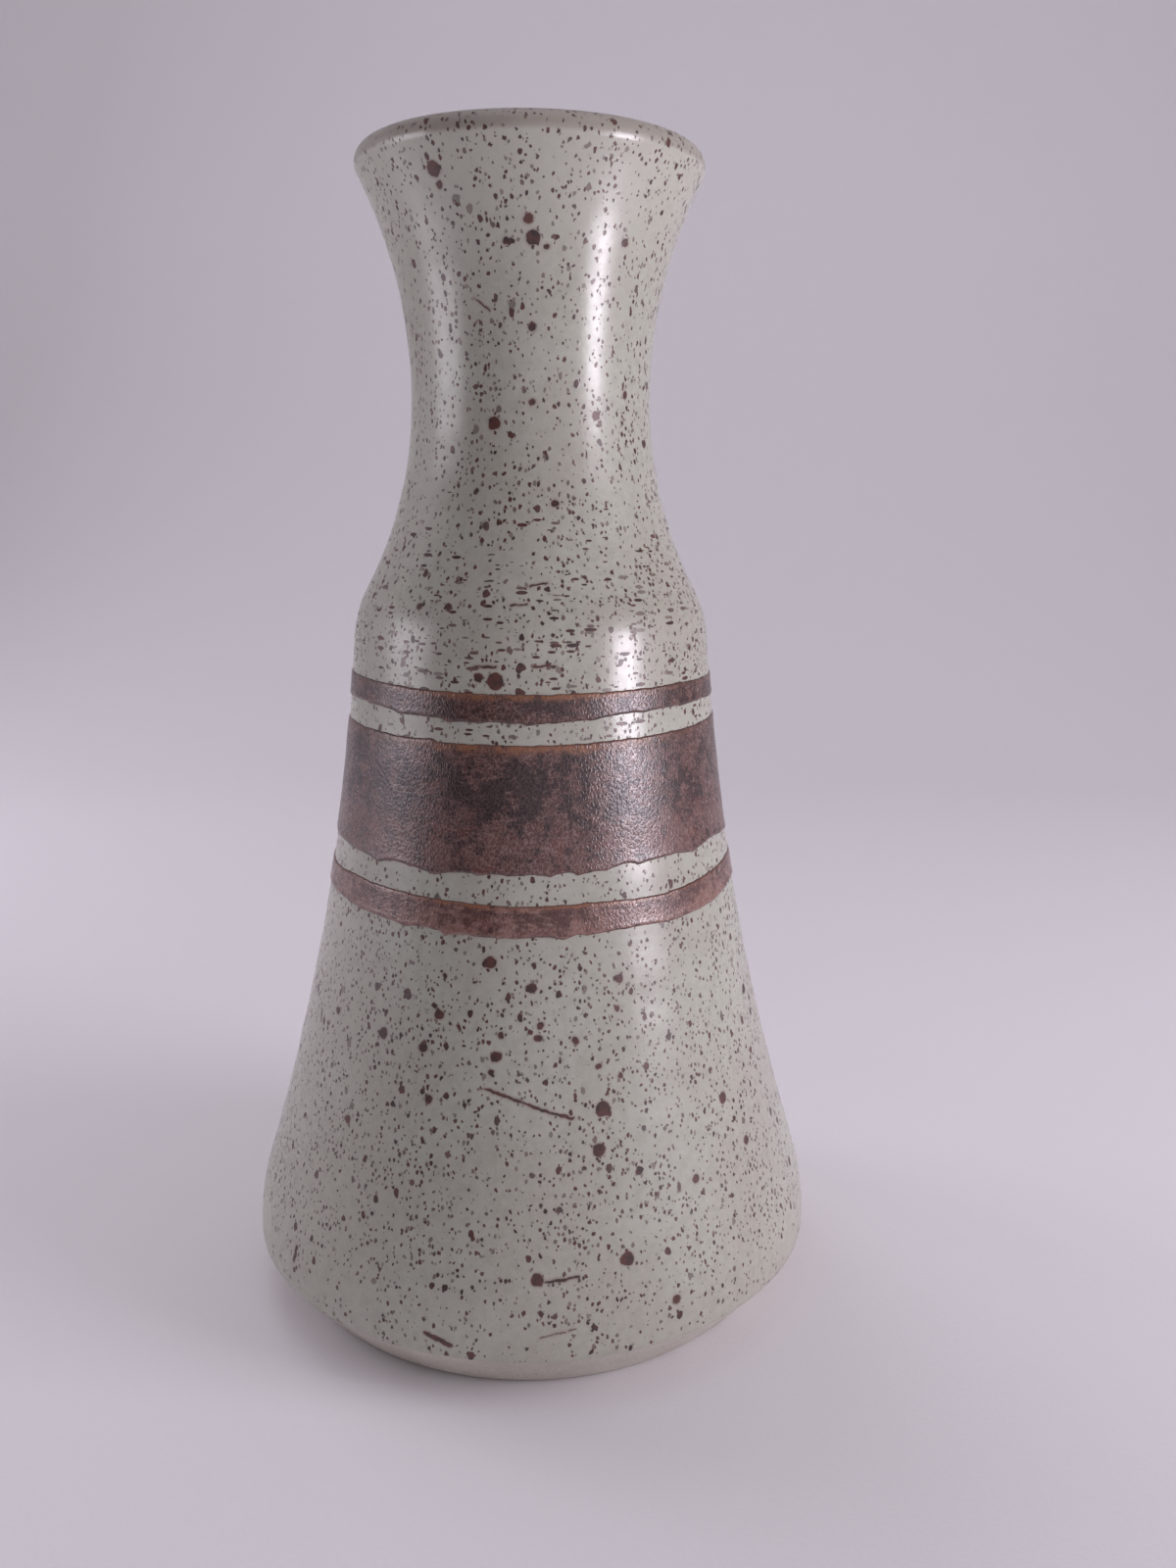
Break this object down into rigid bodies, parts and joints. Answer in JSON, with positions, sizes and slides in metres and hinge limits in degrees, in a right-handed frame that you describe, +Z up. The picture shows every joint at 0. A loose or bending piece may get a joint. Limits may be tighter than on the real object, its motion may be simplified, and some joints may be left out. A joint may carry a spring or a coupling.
{
  "type": "vase",
  "caption": "Tall bell-shaped vase with a bevelled foot, a soft shoulder, a narrow waist and a flared round lip, and brown brushed bands.",
  "frame": {"origin": "centre of the foot, on the surface that the vase stands on", "axes": "+Z up along the axis that the vase was thrown about; X and Y are any two directions across it"},
  "size_m": [0.142, 0.142, 0.27],
  "materials": {
    "stoneware": "bare fired clay, matte and slightly gritty",
    "speckled_glaze": "satin gloss, pale grey-green with iron specks",
    "brown_glaze": "satin, finely pebbled iron brown"
  },
  "bodies": {
    "root": {"clay_body": "stoneware", "outer_glaze": "speckled_glaze", "liner_glaze": "speckled_glaze", "upper_band": "brown_glaze", "middle_band": "brown_glaze", "lower_band": "brown_glaze"}
  },
  "joints": []
}
